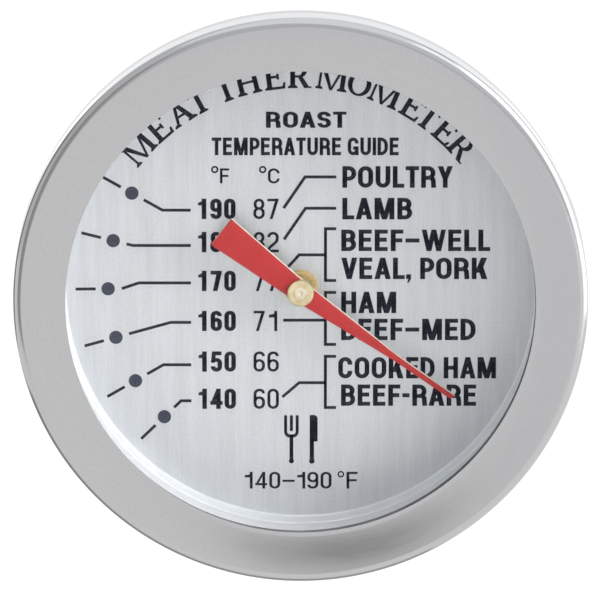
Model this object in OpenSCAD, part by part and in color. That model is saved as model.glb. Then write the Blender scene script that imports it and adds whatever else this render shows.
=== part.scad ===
// Dial meat thermometer with a bimetal stem.
// The dial faces -Y and reads upright with +Z up. The stem runs along +Y.
// The origin is on the axis, where the stem leaves its boss.
// Depths inside the head are measured back from the bezel's lip.

/* [Bezel] */
// Outside diameter of the bezel
bezel_d = 60; // [59:0.5:62]
// Diameter of the window in the bezel
window_d = 49.2; // [48:0.2:49.4]
// Thickness of the stainless sheet of the bezel and the case
sheet = 0.7; // [0.6:0.05:0.75]
// Outer corner radius of the bezel
corner_r = 1.4; // [1.2:0.1:1.5]
// Fall of the bezel's face from its lip to its outer corner
face_fall = 0.15; // [0.05:0.05:0.2]
// Depth from the lip to the crimped back edge
bezel_depth = 5.65; // [5.6:0.05:5.8]
// Height by which the crimped edge stands out of the skirt
crimp_bulge = 0.25; // [0.1:0.05:0.3]

/* [Window] */
// Thickness of the glass
lens_t = 2; // [1.8:0.1:2]
// Thickness of the gasket in front of the glass
lens_gasket_t = 0.5; // [0.4:0.05:0.5]

/* [Dial] */
// Depth from the lip to the face of the dial
dial_depth = 9; // [8.8:0.1:9.2]
// Diameter of the dial's flat face
dial_d = 49.8; // [49.6:0.1:50]
// Thickness of the aluminium of the dial
dial_t = 0.5; // [0.4:0.05:0.5]
// Height of the dial's upturned wall above its face
dial_wall_h = 2.6; // [2:0.1:3]

/* [Pointer] */
// Length from the axis to the tip
pointer_len = 19.9; // [15:0.1:22]
// Length from the axis to the end of the tail
tail_len = 10.6; // [8:0.1:14]
// Width across the end of the tail
tail_w = 3.6; // [3:0.1:5]
// Width at the axis
pointer_w = 2.25; // [2:0.05:2.6]
// Width where the taper ends
neck_w = 0.7; // [0.6:0.05:0.9]
// Width across the tip
tip_w = 0.62; // [0.5:0.02:0.7]
// Thickness of the pointer
pointer_t = 0.45; // [0.3:0.05:0.6]
// Angle of the tip below the horizontal when the room is at 70 F
rest_angle = 35.2; // [30:0.1:40]
// Angle by which the tail leans off the tip's line
tail_lean = 2.6; // [0:0.1:4]

/* [Case] */
// Depth from the lip to the back of the case
case_depth = 13.3; // [13.2:0.1:14]
// Radius of the rounded edge round the back of the case
back_r = 2.5; // [1.5:0.1:3]
// Height of the stiffening bead pressed into the back
bead_h = 0.5; // [0.3:0.1:0.6]

/* [Stem] */
// Diameter of the stem
stem_d = 4; // [3.9:0.05:4.2]
// Length of the stem from the boss to its point
stem_len = 120; // [115:1:130]
// Length of the pointed tip
point_len = 9; // [7:0.5:12]
// Wall thickness of the stem's tube
tube_wall = 0.35; // [0.3:0.05:0.35]

/* [Bimetal] */
// Number of turns in the bimetal coil
coil_turns = 16; // [8:1:20]
// Length of the bimetal coil
coil_len = 34; // [30:1:38]
// Width of the bimetal strip
strip_w = 1.3; // [1:0.1:1.4]
// Thickness of the bimetal strip
strip_t = 0.2; // [0.15:0.01:0.22]

/* [Hidden] */
$fn = 96;

// Overlap that cutting tools run past a face
eps = 0.2;
// Running clearance round the shaft
shaft_gap = 0.05;

// Bezel, from the axis outwards
bezel_r = bezel_d / 2;
window_r = window_d / 2;
skirt_in_r = bezel_r - sheet;
corner_y = face_fall + corner_r;
crimp_r = 0.75;
crimp_in_r = bezel_r - 2.2;

// Window stack
lens_front = face_fall + sheet + lens_gasket_t;
lens_back = lens_front + lens_t;
lens_r = bezel_r - 1.3;
flange_back = bezel_depth - sheet;
flange_front = flange_back - sheet;
flange_r = skirt_in_r - 0.3;

// Dial pan and the step of the case that carries it
dial_r = dial_d / 2;
rim_front = dial_depth - dial_wall_h;
rim_back = rim_front + dial_t;
rim_r = dial_r + 1.8;
pan_corner_r = 0.4;

// Case
cup_r = rim_r + 0.2;
step_r = dial_r + dial_t + 0.2;
floor_front = case_depth - sheet;
bead_r = 13.5;
bead_w = 2.4;

// Boss, nut and washers
boss_r = 4;
seal_t = 0.6;
seal_r = 5.7;
boss_front = dial_depth + dial_t + 0.8;
boss_hex_t = 2.1;
boss_hex_af = 12;
boss_hex_back = case_depth + seal_t + boss_hex_t;
boss_len = 6.7;
head_depth = case_depth + boss_len;
boss_cone_front_r = 4.6;
boss_cone_back_r = 3;
washer_t = 0.6;
washer_teeth = 12;
nut_af = 13;
nut_chamfer = 0.35;

// Bush in the middle of the dial
bush_r = 1.85;
bush_shank_r = 1.5;
bush_face = dial_depth - 0.45;
bush_back = boss_front + 2;

// Pointer and hub
shaft_r = 0.5;
pointer_back = 6.6;
pointer_front = pointer_back - pointer_t;
hub_front = pointer_front - 0.75;
hub_cap_r = 1.4;
hub_rivet_r = 0.8;
hub_collar_r = 1.2;
hub_back = bush_face - 0.35;
hub_bore_front = hub_front + 0.5;
hub_edge_r = 0.3;
taper_end = 12.5;

// Stem and what is inside it
stem_r = stem_d / 2;
bore_r = stem_r - tube_wall;
neck_len = 6;
neck_r = stem_r - 0.2;
neck_bore_r = neck_r - tube_wall;
tube_len = stem_len - point_len;
point_r = 0.35;
spigot_len = 4;
guide_len = 4;
upper_guide_y = 9;
lower_guide_y = 55;
anchor_len = 3;
anchor_y = tube_len - spigot_len - anchor_len;
nose_len = 2.2;
coil_end = anchor_y - 0.1;
coil_start = coil_end - coil_len;
nose_r = 0.95;
collet_r = 1;
collet_len = 6;
collet_grip = 4;
shaft_end = coil_start - collet_len + collet_grip + 2;
coil_r = collet_r + 0.1 + strip_t / 2;
coil_steps = 24;

// Turns a shape drawn round local +Z so that local +Z runs along +Y.
module along_stem() {
    rotate([-90, 0, 0]) children();
}

// The same for the head, where local Z is the depth behind the lip.
module in_head() {
    translate([0, -head_depth, 0]) along_stem() children();
}

// A rectangle in a lathe profile, from radius r0 to r1 and from depth y0 to y1.
module bar(r0, r1, y0, y1) {
    translate([r0, y0]) square([r1 - r0, y1 - y0]);
}

// A quarter of a ring in a lathe profile. The turn says which quarter.
module elbow(centre, inner, outer, turn) {
    translate(centre) rotate(turn) intersection() {
        difference() {
            circle(outer);
            circle(inner);
        }
        square(outer + eps);
    }
}

// A plain ring from depth y0 to y1.
module ring(r0, r1, y0, y1) {
    difference() {
        translate([0, 0, y0]) cylinder(r = r1, h = y1 - y0);
        translate([0, 0, y0 - eps]) cylinder(r = r0, h = y1 - y0 + 2 * eps);
    }
}

// A hexagonal prism by its width across the flats.
module hexagon(across_flats, height) {
    cylinder(r = across_flats / sqrt(3), h = height, $fn = 6);
}

// Face, rounded corner, skirt and the edge crimped in behind the case's flange.
module bezel() {
    shoulder_r = bezel_r - corner_r;
    crimp_y = bezel_depth - crimp_r;
    bulge_r = bezel_r + crimp_bulge - crimp_r;
    color("silver") in_head() rotate_extrude() {
        polygon([
            [window_r, 0.1],
            [window_r + 0.1, 0],
            [shoulder_r, face_fall],
            [shoulder_r, face_fall + sheet],
            [window_r + 0.1, sheet],
            [window_r, sheet - 0.1]
        ]);
        elbow([shoulder_r, corner_y], corner_r - sheet, corner_r, -90);
        bar(skirt_in_r, bezel_r, corner_y, crimp_y - 0.4);
        polygon([
            [skirt_in_r, crimp_y - 0.4],
            [bezel_r, crimp_y - 0.4],
            [bulge_r + crimp_r, crimp_y],
            [bulge_r + crimp_r - sheet, crimp_y]
        ]);
        elbow([bulge_r, crimp_y], crimp_r - sheet, crimp_r, 0);
        bar(crimp_in_r, bulge_r, flange_back, bezel_depth);
    }
}

module lens_gasket() {
    color("dimgray") in_head()
        ring(window_r + 0.5, lens_r - 0.1, face_fall + sheet, lens_front);
}

module lens() {
    color("lightcyan", 0.3) in_head()
        translate([0, 0, lens_front]) cylinder(r = lens_r, h = lens_t);
}

module case_gasket() {
    color("dimgray") in_head() ring(cup_r + 0.2, lens_r, lens_back, flange_front);
}

// Ring that holds the glass off the rim of the dial.
module spacer_ring() {
    color("gainsboro") in_head() ring(dial_r + 0.1, rim_r - 0.1, lens_back, rim_front);
}

// Flat dial with a wall that turns up and out to a rim.
module dial_pan() {
    corner = dial_r - pan_corner_r + dial_t;
    color("gainsboro") in_head() rotate_extrude() {
        bar(bush_shank_r, corner - dial_t, dial_depth, dial_depth + dial_t);
        elbow(
            [corner - dial_t, dial_depth - pan_corner_r],
            pan_corner_r,
            pan_corner_r + dial_t,
            0
        );
        bar(dial_r, dial_r + dial_t, rim_front, dial_depth - pan_corner_r);
        bar(dial_r + dial_t, rim_r, rim_front, rim_back);
    }
}

// Drawn cup: a flange under the crimp, a step for the dial's rim, and a floor.
module case_back() {
    floor_r = step_r + sheet - back_r;
    color("silver") in_head() rotate_extrude() {
        difference() {
            union() {
                bar(cup_r, flange_r, flange_front, flange_back);
                bar(cup_r, cup_r + sheet, flange_front, rim_back);
                elbow([cup_r, rim_back], 0, sheet, 0);
                bar(step_r, cup_r, rim_back, rim_back + sheet);
                bar(step_r, step_r + sheet, rim_back, case_depth - back_r);
                elbow([floor_r, case_depth - back_r], back_r - sheet, back_r, 0);
                bar(boss_r, floor_r, floor_front, case_depth);
                translate([bead_r, floor_front]) bead(bead_h + sheet);
            }
            translate([bead_r, floor_front - eps]) bead(bead_h + eps);
        }
    }
}

// Section of the stiffening bead, sloping in to its flat top.
module bead(height) {
    slope = 0.5;
    polygon([
        [-bead_w / 2 - slope, 0],
        [bead_w / 2 + slope, 0],
        [bead_w / 2, height],
        [-bead_w / 2, height]
    ]);
}

// Flexible washer that keeps water out at the boss.
module boss_seal() {
    color("dimgray") in_head() ring(boss_r, seal_r, case_depth, case_depth + seal_t);
}

// Shank through the case, a hexagon to hold it by, and a cone down to the stem.
module stem_boss() {
    hex_front = case_depth + seal_t;
    color("silver") in_head() difference() {
        union() {
            translate([0, 0, boss_front]) cylinder(r = boss_r, h = hex_front - boss_front + eps);
            translate([0, 0, hex_front]) hexagon(boss_hex_af, boss_hex_t);
            translate([0, 0, boss_hex_back]) cylinder(
                r1 = boss_cone_front_r,
                r2 = boss_cone_back_r,
                h = head_depth - boss_hex_back
            );
        }
        translate([0, 0, boss_front - eps]) cylinder(r = 1.2, h = boss_len + 4);
        translate([0, 0, boss_front - eps])
            cylinder(r = bush_shank_r, h = bush_back - boss_front + eps);
        translate([0, 0, head_depth - neck_len]) cylinder(r = neck_r, h = neck_len + eps);
    }
}

// Washer with a toothed edge between the nut and the case.
module lock_washer() {
    tooth_in_r = 5.4;
    tooth_out_r = 6.4;
    color("silver") in_head() translate([0, 0, floor_front - washer_t]) difference() {
        cylinder(r = tooth_out_r, h = washer_t);
        translate([0, 0, -eps]) cylinder(r = boss_r, h = washer_t + 2 * eps);
        for (i = [0:washer_teeth - 1])
            rotate(i * 360 / washer_teeth)
                translate([tooth_in_r, -0.55, -eps])
                    cube([tooth_out_r, 1.1, washer_t + 2 * eps]);
    }
}

module lock_nut() {
    back = floor_front - washer_t;
    corner = nut_af / sqrt(3);
    color("silver") in_head() difference() {
        intersection() {
            translate([0, 0, boss_front]) hexagon(nut_af, back - boss_front);
            translate([0, 0, boss_front]) cylinder(
                r1 = corner - nut_chamfer,
                r2 = corner - nut_chamfer + 2 * (back - boss_front),
                h = back - boss_front
            );
        }
        translate([0, 0, boss_front - eps])
            cylinder(r = boss_r, h = back - boss_front + 2 * eps);
    }
}

// Flanged bush that pins the dial to the boss and guides the shaft.
module dial_bush() {
    edge = 0.2;
    color("goldenrod") in_head() difference() {
        union() {
            translate([0, 0, bush_face]) cylinder(r1 = bush_r - edge, r2 = bush_r, h = edge);
            translate([0, 0, bush_face + edge])
                cylinder(r = bush_r, h = dial_depth - bush_face - edge);
            translate([0, 0, dial_depth]) cylinder(r = bush_shank_r, h = bush_back - dial_depth);
        }
        translate([0, 0, bush_face - eps])
            cylinder(r = shaft_r + shaft_gap, h = bush_back - bush_face + 2 * eps);
    }
}

// A point of the pointer's outline: along its line, to one side, and turned.
function outline_point(along, side, angle) = [
    along * cos(angle) - side * sin(angle),
    along * sin(angle) + side * cos(angle)
];

// Flat pointer: a long tapered tip, and a tail that widens to a square end.
module pointer() {
    tip = -rest_angle;
    tail = -rest_angle - tail_lean;
    middle = (tip + tail) / 2;
    color("crimson") translate([0, pointer_back - head_depth, 0]) rotate([90, 0, 0])
        linear_extrude(pointer_t) difference() {
            polygon([
                outline_point(0, pointer_w / 2, middle),
                outline_point(taper_end, neck_w / 2, tip),
                outline_point(pointer_len, tip_w / 2, tip),
                outline_point(pointer_len, -tip_w / 2, tip),
                outline_point(taper_end, -neck_w / 2, tip),
                outline_point(0, -pointer_w / 2, middle),
                outline_point(-tail_len, -tail_w / 2, tail),
                outline_point(-tail_len, tail_w / 2, tail)
            ]);
            circle(hub_rivet_r);
        }
}

// Turned hub: a cap in front of the pointer, a rivet through it, a collar behind.
module pointer_hub() {
    dimple_r = 0.16;
    color("goldenrod") in_head() difference() {
        union() {
            rotate_extrude() {
                bar(0, hub_cap_r - hub_edge_r, hub_front, pointer_front);
                bar(0, hub_cap_r, hub_front + hub_edge_r, pointer_front);
                elbow([hub_cap_r - hub_edge_r, hub_front + hub_edge_r], 0, hub_edge_r, -90);
            }
            translate([0, 0, pointer_front]) cylinder(r = hub_rivet_r, h = pointer_t);
            translate([0, 0, pointer_back]) cylinder(r = hub_collar_r, h = hub_back - pointer_back);
        }
        translate([0, 0, hub_bore_front])
            cylinder(r = shaft_r, h = hub_back - hub_bore_front + eps);
        translate([0, 0, hub_front - eps]) cylinder(r = dimple_r, h = 0.12 + eps);
    }
}

// Thin shaft from the coil's collet up to the hub.
module pointer_shaft() {
    front = hub_bore_front - head_depth;
    color("silver") translate([0, front, 0]) along_stem()
        cylinder(r = shaft_r, h = shaft_end - front);
}

// Bush that keeps the shaft in the middle of the tube.
module shaft_guide(place) {
    color("goldenrod") translate([0, place, 0]) along_stem()
        ring(shaft_r + shaft_gap, bore_r, 0, guide_len);
}

module upper_guide() {
    shaft_guide(upper_guide_y);
}

module lower_guide() {
    shaft_guide(lower_guide_y);
}

// Thin tube, necked down where it is pressed into the boss.
module stem_tube() {
    color("silver") along_stem() rotate_extrude() {
        bar(neck_bore_r, neck_r, -neck_len, 0);
        bar(neck_bore_r, stem_r, 0, tube_wall);
        bar(bore_r, stem_r, tube_wall, tube_len);
    }
}

// Solid point welded into the end of the tube.
module stem_tip() {
    color("silver") along_stem() {
        translate([0, 0, tube_len - spigot_len]) cylinder(r = bore_r, h = spigot_len);
        translate([0, 0, tube_len]) cylinder(r1 = stem_r, r2 = point_r, h = point_len - point_r);
        translate([0, 0, stem_len - point_r]) intersection() {
            sphere(point_r);
            translate([-point_r, -point_r, 0]) cube(2 * point_r);
        }
    }
}

// One corner of the strip's section at a step along the helix.
function coil_point(step, radius, along) =
    let (
        angle = step * 360 / coil_steps,
        steps = coil_turns * coil_steps,
        start = coil_start + strip_w / 2,
        travel = coil_len - strip_w
    )
    [radius * cos(angle), start + travel * step / steps + along, radius * sin(angle)];

function coil_section(step) = [
    coil_point(step, coil_r - strip_t / 2, -strip_w / 2),
    coil_point(step, coil_r + strip_t / 2, -strip_w / 2),
    coil_point(step, coil_r + strip_t / 2, strip_w / 2),
    coil_point(step, coil_r - strip_t / 2, strip_w / 2)
];

// Flat strip of two bonded metals, wound into a helix that turns as it warms.
module bimetal_coil() {
    steps = coil_turns * coil_steps;
    points = [for (i = [0:steps]) each coil_section(i)];
    sides = [
        for (i = [0:steps - 1], k = [0:3])
            let (a = 4 * i + k, b = 4 * i + (k + 1) % 4)
            [a, b, b + 4, a + 4]
    ];
    last = 4 * steps;
    ends = [[3, 2, 1, 0], [last, last + 1, last + 2, last + 3]];
    color("peru") polyhedron(points = points, faces = concat(sides, ends));
}

// Sleeve that grips the shaft's end and carries the moving end of the coil.
module coil_collet() {
    front = shaft_end - collet_grip;
    color("goldenrod") translate([0, front, 0]) along_stem() difference() {
        cylinder(r = collet_r, h = collet_len);
        translate([0, 0, -eps]) cylinder(r = shaft_r, h = collet_grip + eps);
    }
}

// Plug fixed in the tube, with a nose that holds the still end of the coil.
module coil_anchor() {
    color("goldenrod") translate([0, anchor_y, 0]) along_stem() {
        cylinder(r = bore_r, h = anchor_len);
        translate([0, 0, -nose_len]) cylinder(r = nose_r, h = nose_len);
    }
}

bezel();
lens_gasket();
lens();
case_gasket();
spacer_ring();
dial_pan();
case_back();
boss_seal();
stem_boss();
lock_washer();
lock_nut();
dial_bush();
pointer();
pointer_hub();
pointer_shaft();
upper_guide();
lower_guide();
stem_tube();
stem_tip();
bimetal_coil();
coil_collet();
coil_anchor();
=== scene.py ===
"""Looks of the dial meat thermometer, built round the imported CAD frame.

Everything is in the frame's own axes: the dial faces -Y, +Z is up and the stem runs along +Y.
Shapes are written in millimetres and made in metres. Depths inside the head are measured back
from the bezel's lip, and places on the dial are measured from its middle, x right and z up.
"""
import math

import bmesh
import bpy
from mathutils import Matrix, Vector
from mathutils.geometry import delaunay_2d_cdt


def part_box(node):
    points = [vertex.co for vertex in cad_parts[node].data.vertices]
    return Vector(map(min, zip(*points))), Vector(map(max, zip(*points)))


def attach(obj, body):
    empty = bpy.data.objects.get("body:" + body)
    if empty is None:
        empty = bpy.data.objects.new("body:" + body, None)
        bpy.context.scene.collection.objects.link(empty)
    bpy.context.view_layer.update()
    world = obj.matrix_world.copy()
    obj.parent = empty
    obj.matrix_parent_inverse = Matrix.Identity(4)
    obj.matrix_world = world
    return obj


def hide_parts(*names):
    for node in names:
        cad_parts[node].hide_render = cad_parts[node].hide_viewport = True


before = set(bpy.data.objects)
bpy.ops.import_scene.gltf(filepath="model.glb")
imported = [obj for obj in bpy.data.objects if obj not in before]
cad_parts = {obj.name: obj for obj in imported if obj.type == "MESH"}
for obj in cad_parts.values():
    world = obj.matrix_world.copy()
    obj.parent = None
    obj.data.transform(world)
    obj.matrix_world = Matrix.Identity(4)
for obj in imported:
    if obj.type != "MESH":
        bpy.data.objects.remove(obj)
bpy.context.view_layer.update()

MM = 0.001
SEGMENTS = 240


# ---------------------------------------------------------------- places taken from the frame

def low(node, axis):
    """A node's lowest coordinate on an axis, in mm."""
    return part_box(node)[0][axis] / MM


def high(node, axis):
    """A node's highest coordinate on an axis, in mm."""
    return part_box(node)[1][axis] / MM


def depth(node):
    """How far behind the lip a node starts and ends, in mm."""
    return low(node, 1) - lip_y, high(node, 1) - lip_y


lip_y = low("bezel", 1)
crimp_r = high("bezel", 0)
bezel_back = depth("bezel")[1]
lens_front, lens_back = depth("lens")
lens_r = high("lens", 0)
spacer_front, spacer_back = depth("spacer_ring")
spacer_r = high("spacer_ring", 0)
pan_front, pan_back = depth("dial_pan")
pan_rim_r = high("dial_pan", 0)
case_front, case_back = depth("case_back")
flange_r = high("case_back", 0)
boss_front, boss_back = depth("stem_boss")
bush_front, bush_back = depth("dial_bush")
bush_r = high("dial_bush", 0)
blade_front, blade_back = depth("pointer")
hub_front, hub_back = depth("pointer_hub")
cap_r = high("pointer_hub", 0)
tube_r = high("stem_tube", 0)
tube_front = low("stem_tube", 1)
tube_end = high("stem_tube", 1)
point_end = high("stem_tip", 1)

# Sizes that the boxes don't tell
bezel_r = crimp_r - 0.1
sheet = 0.7
window_r = 24.6
dial_t = 0.5
dial_depth = pan_back - dial_t
dial_r = pan_rim_r - 1.6
dial_y = lip_y + dial_depth

# ---------------------------------------------------------------- outlines

ARC_STEP = math.radians(9)
TOUCHING = 1e-5


def turned(vector, angle):
    """A flat vector turned by an angle."""
    c, s = math.cos(angle), math.sin(angle)
    return Vector((c * vector.x - s * vector.y, s * vector.x + c * vector.y))


def rounded(points, closed=True, step=ARC_STEP):
    """The points of a path, where a corner given as (x, y, radius) becomes an arc."""
    count = len(points)
    path = []
    for i, point in enumerate(points):
        here = Vector(point[:2])
        if len(point) < 3 or (not closed and i in (0, count - 1)):
            path.append(here)
            continue
        arms = []
        reaches = []
        for other in (points[i - 1], points[(i + 1) % count]):
            arm = Vector(other[:2]) - here
            arms.append(arm.normalized())
            reaches.append(arm.length / (2 if len(other) > 2 else 1))
        turn = math.pi - arms[0].angle(arms[1])
        if turn < 0.01:
            path.append(here)
            continue
        reach = min(point[2] * math.tan(turn / 2), *reaches)
        radius = reach / math.tan(turn / 2)
        centre = here + (arms[0] + arms[1]).normalized() * radius / math.cos(turn / 2)
        spoke = here + arms[0] * reach - centre
        sense = -1 if arms[0].cross(arms[1]) > 0 else 1
        bits = max(2, math.ceil(turn / step))
        path += [centre + turned(spoke, sense * turn * k / bits) for k in range(bits + 1)]
    kept = [path[0]]
    for here in path[1:]:
        if (here - kept[-1]).length > TOUCHING:
            kept.append(here)
    if closed and (kept[0] - kept[-1]).length < TOUCHING:
        kept.pop()
    return kept


def signed_area(path):
    """Twice a closed path's area, positive when it runs against the clock."""
    return sum(a.cross(b) for a, b in zip(path, path[1:] + path[:1]))


def stroke(pen, points, closed=False):
    """The outline of an oval pen drawn along a path, and its hole if the path is closed.

    pen is (width of an upright stroke, height of a level one)."""
    path = rounded(points, closed)
    count = len(path)
    sides = ([], [])
    for i, here in enumerate(path):
        before = path[i - 1] if closed or i > 0 else here
        after = path[(i + 1) % count] if closed or i < count - 1 else here
        along = (here - before).normalized() + (after - here).normalized()
        along.normalize()
        offset = Vector((-along.y * pen[0] / 2, along.x * pen[1] / 2))
        sides[0].append(here + offset)
        sides[1].append(here - offset)
    if closed:
        hole, edge = sorted(sides, key=lambda side: abs(signed_area(side)))
        return [edge], [hole]
    return filled(sides[0] + sides[1][::-1])


def filled(points):
    """A shape of one closed outline. A shape is its inked outlines and its holes."""
    return [[Vector(p) for p in points]], []


def changed(shape, move):
    """A shape with each of its points moved by a function."""
    return tuple([[move(p) for p in path] for path in paths] for paths in shape)


def bar(x0, z0, x1, z1):
    """A rectangle."""
    return filled([(x0, z0), (x1, z0), (x1, z1), (x0, z1)])


def slant(x0, z0, x1, z1, width, end_width=None):
    """A leaning stroke with level ends, given by the left corners of its ends."""
    end = end_width or width
    return filled([(x0, z0), (x0 + width, z0), (x1 + end, z1), (x1, z1)])


def disc(x, z, radius, bits=40):
    """A round dot."""
    angles = [math.tau * k / bits for k in range(bits)]
    return filled([(x + radius * math.cos(a), z + radius * math.sin(a)) for a in angles])


def joined(*shapes):
    """Several shapes as one."""
    return tuple([path for shape in shapes for path in shape[kind]] for kind in (0, 1))


# ---------------------------------------------------------------- the printed letters
# Each letter is drawn with its capital height as 1. s is the width of an upright stroke,
# b the height of a level one and w the letter's width.

BOLD = (0.222, 0.188)
LIGHT = (0.142, 0.128)
ROUND = 0.5
WAIST = 0.52
R_WAIST = 0.46


def middles(w, s, b):
    """The middle lines of a letter's left, right, lowest and highest strokes."""
    return s / 2, w - s / 2, b / 2, 1 - b / 2


def lobe(pen, left, right, top, foot, radius):
    """A stroke out to the right at the top and back at the foot."""
    return stroke(pen, [(left, top), (right, top, radius), (right, foot, radius), (left, foot)])


def ring(pen, left, right, top, foot, radius):
    """A closed stroke with round corners."""
    corners = ((left, foot), (right, foot), (right, top), (left, top))
    return stroke(pen, [(*corner, radius) for corner in corners], closed=True)


def letter_a(w, s, b):
    apex = (w - s) / 2
    leg = s * 1.08
    return joined(slant(0, 0, apex, 1, leg, s), slant(w - leg, 0, apex, 1, leg, s),
                  bar(w * 0.2, 0.2, w * 0.8, 0.2 + b * 0.92))


def letter_b(w, s, b):
    left, right, foot, top = middles(w, s, b)
    return joined(bar(0, 0, s, 1), lobe((s, b), left, right - 0.03, top, WAIST, 0.24),
                  lobe((s, b), left, right, WAIST, foot, 0.26))


def letter_c(w, s, b):
    left, right, foot, top = middles(w, s, b)
    return stroke((s, b), [(right, top - 0.26), (right, top, ROUND), (left, top, ROUND),
                           (left, foot, ROUND), (right, foot, ROUND), (right, foot + 0.26)])


def letter_d(w, s, b):
    left, right, foot, top = middles(w, s, b)
    return joined(bar(0, 0, s, 1), lobe((s, b), left, right, top, foot, 0.34))


def letter_e(w, s, b):
    return joined(bar(0, 0, s, 1), bar(s / 2, 0, w, b), bar(s / 2, 1 - b, w, 1),
                  bar(s / 2, 0.53 - b / 2, w * 0.93, 0.53 + b / 2))


def letter_f(w, s, b):
    return joined(bar(0, 0, s, 1), bar(s / 2, 1 - b, w, 1),
                  bar(s / 2, 0.5 - b / 2, w * 0.92, 0.5 + b / 2))


def letter_g(w, s, b):
    left, right, foot, top = middles(w, s, b)
    path = [(right, top - 0.24), (right, top, ROUND), (left, top, ROUND), (left, foot, ROUND),
            (right, foot, ROUND), (right, 0.5)]
    return joined(stroke((s, b), path), bar(w / 2, 0.5 - b, w, 0.5), bar(w - s * 0.8, 0, w, 0.5))


def letter_h(w, s, b):
    return joined(bar(0, 0, s, 1), bar(w - s, 0, w, 1),
                  bar(s / 2, 0.5 - b / 2, w - s / 2, 0.5 + b / 2))


def letter_i(w, s, b):
    return bar(0, 0, s, 1)


def letter_k(w, s, b):
    arm = s * 1.25
    return joined(bar(0, 0, s, 1), slant(s * 0.6, 0.3, w - arm, 1, arm),
                  slant(w - arm * 0.95, 0, s * 1.15, 0.62, arm, arm * 0.9))


def letter_l(w, s, b):
    return joined(bar(0, 0, s, 1), bar(s / 2, 0, w, b))


def letter_m(w, s, b):
    middle = (w - s) / 2
    arm = s * 1.25
    return joined(bar(0, 0, s, 1), bar(w - s, 0, w, 1), slant(middle, 0, 0, 1, s, arm),
                  slant(middle, 0, w - arm, 1, s, arm))


def letter_o(w, s, b):
    left, right, foot, top = middles(w, s, b)
    return ring((s, b), left, right, top, foot, ROUND)


def letter_p(w, s, b):
    left, right, _, top = middles(w, s, b)
    return joined(bar(0, 0, s, 1), lobe((s, b), left, right, top, 0.42, 0.3))


def letter_r(w, s, b):
    left, right, _, top = middles(w, s, b)
    leg = [(w * 0.45, R_WAIST), (right - 0.02, R_WAIST, 0.15), (right + 0.01, 0)]
    return joined(bar(0, 0, s, 1), lobe((s, b), left, right - 0.02, top, R_WAIST, 0.28),
                  stroke((s, b), leg))


def letter_s(w, s, b):
    left, right, foot, top = middles(w, s, b)
    return stroke((s, b), [(right, top - 0.2), (right, top, 0.3), (left, top, 0.3),
                           (left, WAIST + 0.03, 0.26), (right, WAIST - 0.03, 0.26),
                           (right, foot, 0.3), (left, foot, 0.3), (left, foot + 0.2)])


def letter_t(w, s, b):
    return joined(bar(0, 1 - b, w, 1), bar((w - s) / 2, 0, (w + s) / 2, 1))


def letter_u(w, s, b):
    left, right, foot, _ = middles(w, s, b)
    return stroke((s, b), [(left, 1), (left, foot, 0.3), (right, foot, 0.3), (right, 1)])


def letter_v(w, s, b):
    foot = (w - s) / 2
    arm = s * 1.08
    return joined(slant(foot, 0, 0, 1, s, arm), slant(foot, 0, w - arm, 1, s, arm))


def letter_w(w, s, b):
    arm = s * 0.98
    quarter = (w - arm) / 4
    strokes = ((1, 0), (1, 2), (3, 2), (3, 4))
    return joined(*[slant(foot * quarter, 0, top * quarter, 1, arm) for foot, top in strokes])


def letter_y(w, s, b):
    fork = (w - s) / 2
    arm = s * 1.15
    return joined(slant(fork, 0.4, 0, 1, s, arm), slant(fork, 0.4, w - arm, 1, s, arm),
                  bar(fork, 0, fork + s, 0.42))


def comma(w, s, b):
    return joined(bar(0, 0, s, s), slant(s * 0.2, -0.17, s * 0.5, 0.02, s * 0.35, s * 0.5))


def dash(w, s, b):
    return bar(0, 0.4, w, 0.4 + b)


def digit_1(w, s, b):
    flag = [(0, 0.67), (w - s / 2, 0.67), (w - s / 2, 1), (w - s * 0.8, 1), (w - s, 0.88),
            (w - s * 1.4, 0.83), (0, 0.81)]
    return joined(bar(w - s, 0, w, 1), filled(flag))


def digit_2(w, s, b):
    left, right, _, top = middles(w, s, b)
    path = [(left, top - 0.2), (left, top, 0.25), (right, top, 0.25), (right, 0.55, 0.3),
            (left, 0.2, 0.2), (left, 0.04)]
    return joined(stroke((s, b), path), bar(0, 0, w, b))


def digit_4(w, s, b):
    right = w * 0.84
    return joined(bar(right - s, 0, right, 1), bar(0, 0.2, w, 0.2 + b),
                  slant(0, 0.24, right - s * 0.9, 1, s * 0.95, s * 0.8))


def digit_5(w, s, b):
    left, right, foot, _ = middles(w, s, b)
    path = [(left, 0.5), (left + 0.02, 0.58, 0.1), (right, 0.58, 0.26), (right, foot, 0.27),
            (left, foot, 0.27), (left, foot + 0.17)]
    return joined(bar(w * 0.12, 1 - b, w * 0.95, 1), slant(w * 0.02, 0.44, w * 0.12, 1, s * 0.9),
                  stroke((s, b), path))


def digit_6(w, s, b):
    left, right, foot, top = middles(w, s, b)
    hook = [(left, 0.3), (left, top, ROUND), (right, top, ROUND), (right, top - 0.17)]
    return joined(ring((s, b), left, right, 0.56, foot, 0.27), stroke((s, b), hook))


def digit_7(w, s, b):
    return joined(bar(0, 1 - b, w, 1), slant(w * 0.2, 0, w - s * 1.1, 1 - b / 2, s * 1.02, s * 1.1))


def digit_8(w, s, b):
    left, right, foot, top = middles(w, s, b)
    return joined(ring((s, b), left, right, WAIST, foot, 0.25),
                  ring((s, b), left + 0.02, right - 0.02, top, WAIST, 0.23))


def digit_9(w, s, b):
    return changed(digit_6(w, s, b), lambda p: Vector((w - p.x, 1 - p.y)))


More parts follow.
